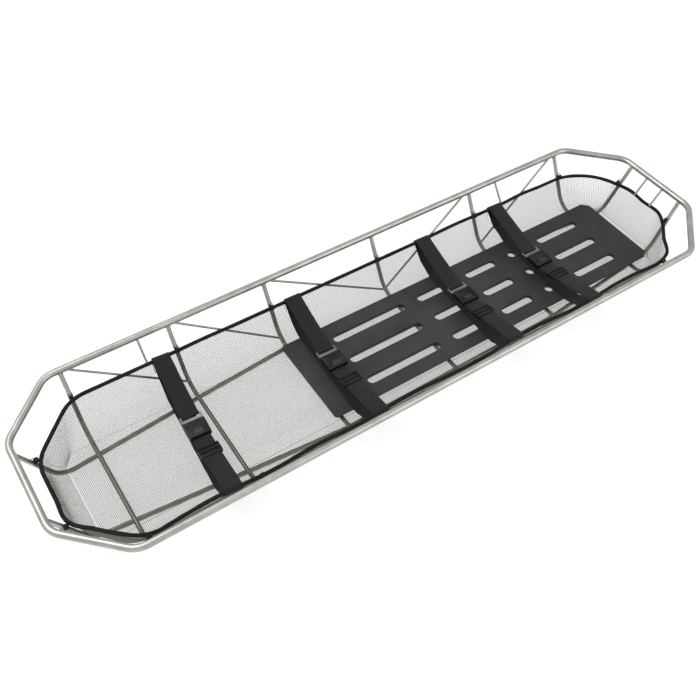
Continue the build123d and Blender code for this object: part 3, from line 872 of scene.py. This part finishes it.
def rim(material, core):
    """Black sleeve and the rod in it."""
    outline = loop_points(rim_outline(), RIM_Z)
    line = [rim_bow(point) for point in stepped(outline, RIM_STEP, True)]
    wrinkle = random.Random(4)
    uneven = [1 + wrinkle.uniform(-WRINKLE, WRINKLE) for _ in line]
    shape = Shape()
    shape.tube(line, SLEEVE_R, SLEEVE_SIDES, closed=True, swell=lambda i: uneven[i])
    add(shape, "rim_cover", material, ("rim_sleeve",))
    shape = Shape()
    shape.tube(line, CORE_R, CORE_SIDES, closed=True)
    add(shape, "rim_core", core, ("rim_rod",))


# Ties ----------------------------------------------------------------------------

TIE_CORD_R, CORD_SIDES = 0.9 * MM, 6
TIE_TURNS, TURN_STEPS = 5, 10
CORD_STAND = 0.8                        # share of the cord's radius that stands off the sleeve
LASHING_STEPS = 20
LASHING_TILTS = (math.radians(38), math.radians(142))
LASHING_SPREAD = 1.3                    # how wide a turn is on each bar, over the bar's radius
RUNNER_TURN_X = 974 * MM                # the runners turn up here towards the end rails
RUNNER_DROP = 177.5 * MM                # from the end rails down to there
RUNNER_TOP_Y = 104 * MM                 # half-width between the runners at the end rails
RUNNER_HEAD_Y, RUNNER_FOOT_Y = 112 * MM, 106 * MM   # and where they turn up
RUNNER_WAY = (0.42, -0.03, 0.91)        # outwards along X, outwards along Y, and up


def coil(shape, place, way, radius):
    """Close-laid turns of cord round a bar."""
    side, up = square_to(way)
    path = []
    for i in range(TIE_TURNS * TURN_STEPS + 1):
        turns = i / TURN_STEPS
        angle = 2 * math.pi * turns
        ahead = (turns - TIE_TURNS / 2) * 2 * TIE_CORD_R
        ring = side * math.cos(angle) + up * math.sin(angle)
        path.append(place + way * ahead + ring * radius)
    shape.tube(path, TIE_CORD_R, CORD_SIDES)


def lashing(shape, place, normal, along_a, along_b, reach_a, reach_b, tilt):
    """A turn of cord round two crossing bars: a tilted oval through place."""
    slant = (along_a * math.cos(tilt) + along_b * math.sin(tilt)).normalized()
    path = []
    for i in range(LASHING_STEPS):
        turn = 2 * math.pi * i / LASHING_STEPS
        part = (math.cos(turn) + 1) / 2
        wide = reach_a[1] * (1 - part) + reach_b[1] * part
        deep = reach_b[0] * part - reach_a[0] * (1 - part)
        path.append(place + normal * deep + slant * (wide * math.sin(turn)))
    shape.tube(path, TIE_CORD_R, CORD_SIDES, closed=True)


def ties(material):
    """Cord lashings that hold the rim to each rib and, at the ends, to each runner."""
    shape = Shape()
    for x in RIB_XS:
        for side in (-1, 1):
            gap = RAIL_Y - (RAIL_Z - RIM_Z) * math.tan(LEAN) - RIM_Y
            rib_way = Vector((0, side * math.sin(LEAN), math.cos(LEAN)))
            place = Vector((x, side * RIM_Y, RIM_Z))
            cross_bars(shape, place, Vector((0, side, 0)), Vector((1, 0, 0)), rib_way, gap)
    out_x, out_y, rise = RUNNER_WAY
    for end in (-1, 1):
        for side in (-1, 1):
            bar_x, bar_y = runner_at_rim(end, side)
            runner_way = Vector((end * out_x, side * out_y, rise)).normalized()
            place = Vector((end * RIM_X, bar_y, RIM_Z))
            gap = abs(bar_x) - RIM_X
            cross_bars(shape, place, Vector((end, 0, 0)), Vector((0, 1, 0)), runner_way, gap)
    add(shape, "rim_lashings", material, ("rim_ties",))


def runner_at_rim(end, side):
    """Where the runner's centre line passes the height of the rim."""
    low_z = RAIL_Z - RUNNER_DROP
    part = (RIM_Z - low_z) / (RAIL_Z - low_z)
    top_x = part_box("head_end_rail")[1].x - RAIL_R
    low_y = RUNNER_HEAD_Y if end > 0 else RUNNER_FOOT_Y
    x = RUNNER_TURN_X + part * (top_x - RUNNER_TURN_X)
    y = low_y + part * (RUNNER_TOP_Y - low_y)
    return end * x, side * y


def cross_bars(shape, place, normal, rim_way, bar_way, gap):
    """Close turns round the rim, and two that cross over it and the bar behind it."""
    moved = rim_bow(place)
    gap -= (moved - place).dot(normal)
    place = moved
    coil(shape, place, rim_way, RIM_R + TIE_CORD_R * CORD_STAND)
    reach_a = (RIM_R + TIE_CORD_R, RIM_R * LASHING_SPREAD)
    reach_b = (gap + RIB_R + TIE_CORD_R, RIB_R * LASHING_SPREAD)
    for tilt in LASHING_TILTS:
        lashing(shape, place, normal, rim_way, bar_way, reach_a, reach_b, tilt)


# Welds -----------------------------------------------------------------------------

BEAD_R, BEAD_SIDES, BEAD_STEPS = 1.3 * MM, 6, 20
BEAD_UNEVEN = (0.75, 1.15)              # least and greatest share of its radius
BEAD_SINK, BEAD_BELOW = 0.6 * MM, 0.8 * MM      # into the rail's skin, and under the rail


def bead(shape, place, way, radius, rough):
    """A weld bead: an uneven ring round a bar."""
    side, up = square_to(way)
    turns = [2 * math.pi * i / BEAD_STEPS for i in range(BEAD_STEPS)]
    path = [place + (side * math.cos(t) + up * math.sin(t)) * radius for t in turns]
    uneven = [rough.uniform(*BEAD_UNEVEN) for _ in turns]
    shape.tube(path, BEAD_R, BEAD_SIDES, closed=True, swell=lambda i: uneven[i])


def welds(material):
    """Beads at the rail's butt joints and under the rail at each rib."""
    shape = Shape()
    rough = random.Random(7)
    splice_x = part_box("side_rail_right")[1].x
    for side in (-1, 1):
        for x in (-splice_x, splice_x):
            place = Vector((x, side * RAIL_Y, RAIL_Z))
            bead(shape, place, Vector((1, 0, 0)), RAIL_R - BEAD_SINK, rough)
        way = Vector((0, side * math.sin(LEAN), math.cos(LEAN)))
        for x in RIB_XS:
            place = Vector((x, side * RAIL_Y, RAIL_Z)) - way * (RAIL_R + BEAD_BELOW)
            bead(shape, place, way, RIB_R, rough)
    add(shape, "weld_beads", material)


# Stage -----------------------------------------------------------------------------

GROUND_GLOW, GROUND_TONE = 0.8, 0.24
GROUND_HALF = 8                         # half its width, in metres
SKY_STRENGTH = 0.85


def lit_ground():
    """Pale ground, lit from below like a light table, so that hardly a shadow falls on it."""
    material, _, shader = new_material("lit_ground", Emission_Color=(1, 1, 1, 1))
    shader.inputs["Emission Strength"].default_value = GROUND_GLOW
    shader.inputs["Base Color"].default_value = (GROUND_TONE, GROUND_TONE, GROUND_TONE, 1)
    shader.inputs["Specular IOR Level"].default_value = 0
    return material


def floor(material):
    """The ground that the runners stand on."""
    mesh = bpy.data.meshes.new("floor")
    signs = ((-1, -1), (1, -1), (1, 1), (-1, 1))
    corners = [(x * GROUND_HALF, y * GROUND_HALF, 0) for x, y in signs]
    mesh.from_pydata(corners, [], [(0, 1, 2, 3)])
    mesh.materials.append(material)
    ground = bpy.data.objects.new("floor", mesh)
    bpy.context.scene.collection.objects.link(ground)


def area_light(name, place, size, power):
    """A square lamp that faces the origin; size in metres and power in watts."""
    data = bpy.data.lights.new(name, "AREA")
    data.size = size
    data.energy = power
    lamp = bpy.data.objects.new(name, data)
    lamp.location = place
    lamp.rotation_euler = (-Vector(place)).to_track_quat("-Z", "Y").to_euler()
    bpy.context.scene.collection.objects.link(lamp)


def studio():
    """White surroundings and two lamps."""
    scene = bpy.context.scene
    world = bpy.data.worlds.new("studio")
    world.use_nodes = True
    sky = world.node_tree.nodes["Background"]
    sky.inputs["Color"].default_value = (1, 1, 1, 1)
    sky.inputs["Strength"].default_value = SKY_STRENGTH
    scene.world = world
    scene.view_settings.view_transform = "Standard"
    area_light("key", (-1.6, 1.2, 3.2), 2.5, 75)
    area_light("fill", (1.8, -2.6, 2.4), 3.0, 40)


# Put it together ---------------------------------------------------------------------

def paint(material, *names):
    """Give carried-over CAD nodes this material."""
    for name in names:
        slots = frame["nodes"][name].data.materials
        if slots:
            for i in range(len(slots)):
                slots[i] = material
        else:
            slots.append(material)


# Steels: dark and light shade, roughness, and the share of their colour kept in the basket, a painted
# shade
STEELS = {
    "rail_steel": ((0.33, 0.325, 0.30), (0.46, 0.45, 0.415), 0.36, 1.0),
    # rib_steel is rail_steel with painted shade in the basket
    "rib_steel": ((0.33, 0.325, 0.30), (0.46, 0.45, 0.415), 0.36, 0.48),
    "rod_steel": ((0.24, 0.237, 0.225), (0.34, 0.335, 0.315), 0.36, 0.6),
    "plated_steel": ((0.15, 0.15, 0.155), (0.26, 0.26, 0.265), 0.34, 1.0),
    "dark_steel": ((0.018, 0.018, 0.019), (0.04, 0.04, 0.042), 0.45, 1.0),
}

# Plastics: dark and light shade, roughness, grain's scale and depth, and specular level
PLASTICS = {
    "coated_wire": ((0.118, 0.114, 0.092), (0.16, 0.155, 0.125), 0.6, 900, 0.0001, 0.4),
    "black_sleeve": ((0.005, 0.005, 0.005), (0.014, 0.014, 0.013), 0.75, 500, 0.0003, 0.15),
    "tie_cord": ((0.006, 0.006, 0.006), (0.016, 0.016, 0.016), 0.7, 1400, 0.0004, 0.25),
    "board_plastic": ((0.02, 0.02, 0.0195), (0.036, 0.036, 0.034), 0.55, 700, 0.0003, 0.3),
    "button_plastic": ((0.008, 0.008, 0.009), (0.02, 0.02, 0.021), 0.4, 800, 0.0001, 0.4),
    "thread": ((0.03, 0.03, 0.03), (0.06, 0.06, 0.058), 0.8, 2500, 0.0002, 0.2),
}


def paint_cad_nodes(made):
    """Materials of the nodes that are shown as the CAD made them."""
    rail, rib, rod = made["rail_steel"], made["rib_steel"], made["rod_steel"]
    paint(rail, "side_rail_left", "side_rail_right", "foot_end_rail", "head_end_rail")
    paint(rib, "runner_left", "runner_right", *("rib_%d" % number for number in range(1, 7)))
    paint(rod, "wall_braces_left", "wall_braces_right", "strap_posts", "head_posts")
    paint(made["board_plastic"], "spine_board")
    for number in range(1, 5):
        strap = "strap_%d_" % number
        paint(made["plated_steel"], strap + "buckle_base", strap + "tongue", strap + "latch")
        paint(made["dark_steel"], strap + "buckle_cover", strap + "adjuster")
        paint(made["button_plastic"], strap + "button")
    paint(made["plated_steel"], "latch_pins", "latch_springs")


def main():
    """Set the stage, paint the CAD nodes and build what replaces or joins them."""
    camera()
    studio()
    made = {name: steel(name, *values) for name, values in STEELS.items()}
    made.update({name: plastic(name, *values) for name, values in PLASTICS.items()})
    floor(lit_ground())
    paint_cad_nodes(made)
    wire_liner(made["coated_wire"])
    webbings(webbing_material(), made["thread"])
    rim(made["black_sleeve"], made["rod_steel"])
    ties(made["tie_cord"])
    welds(made["rib_steel"])


main()
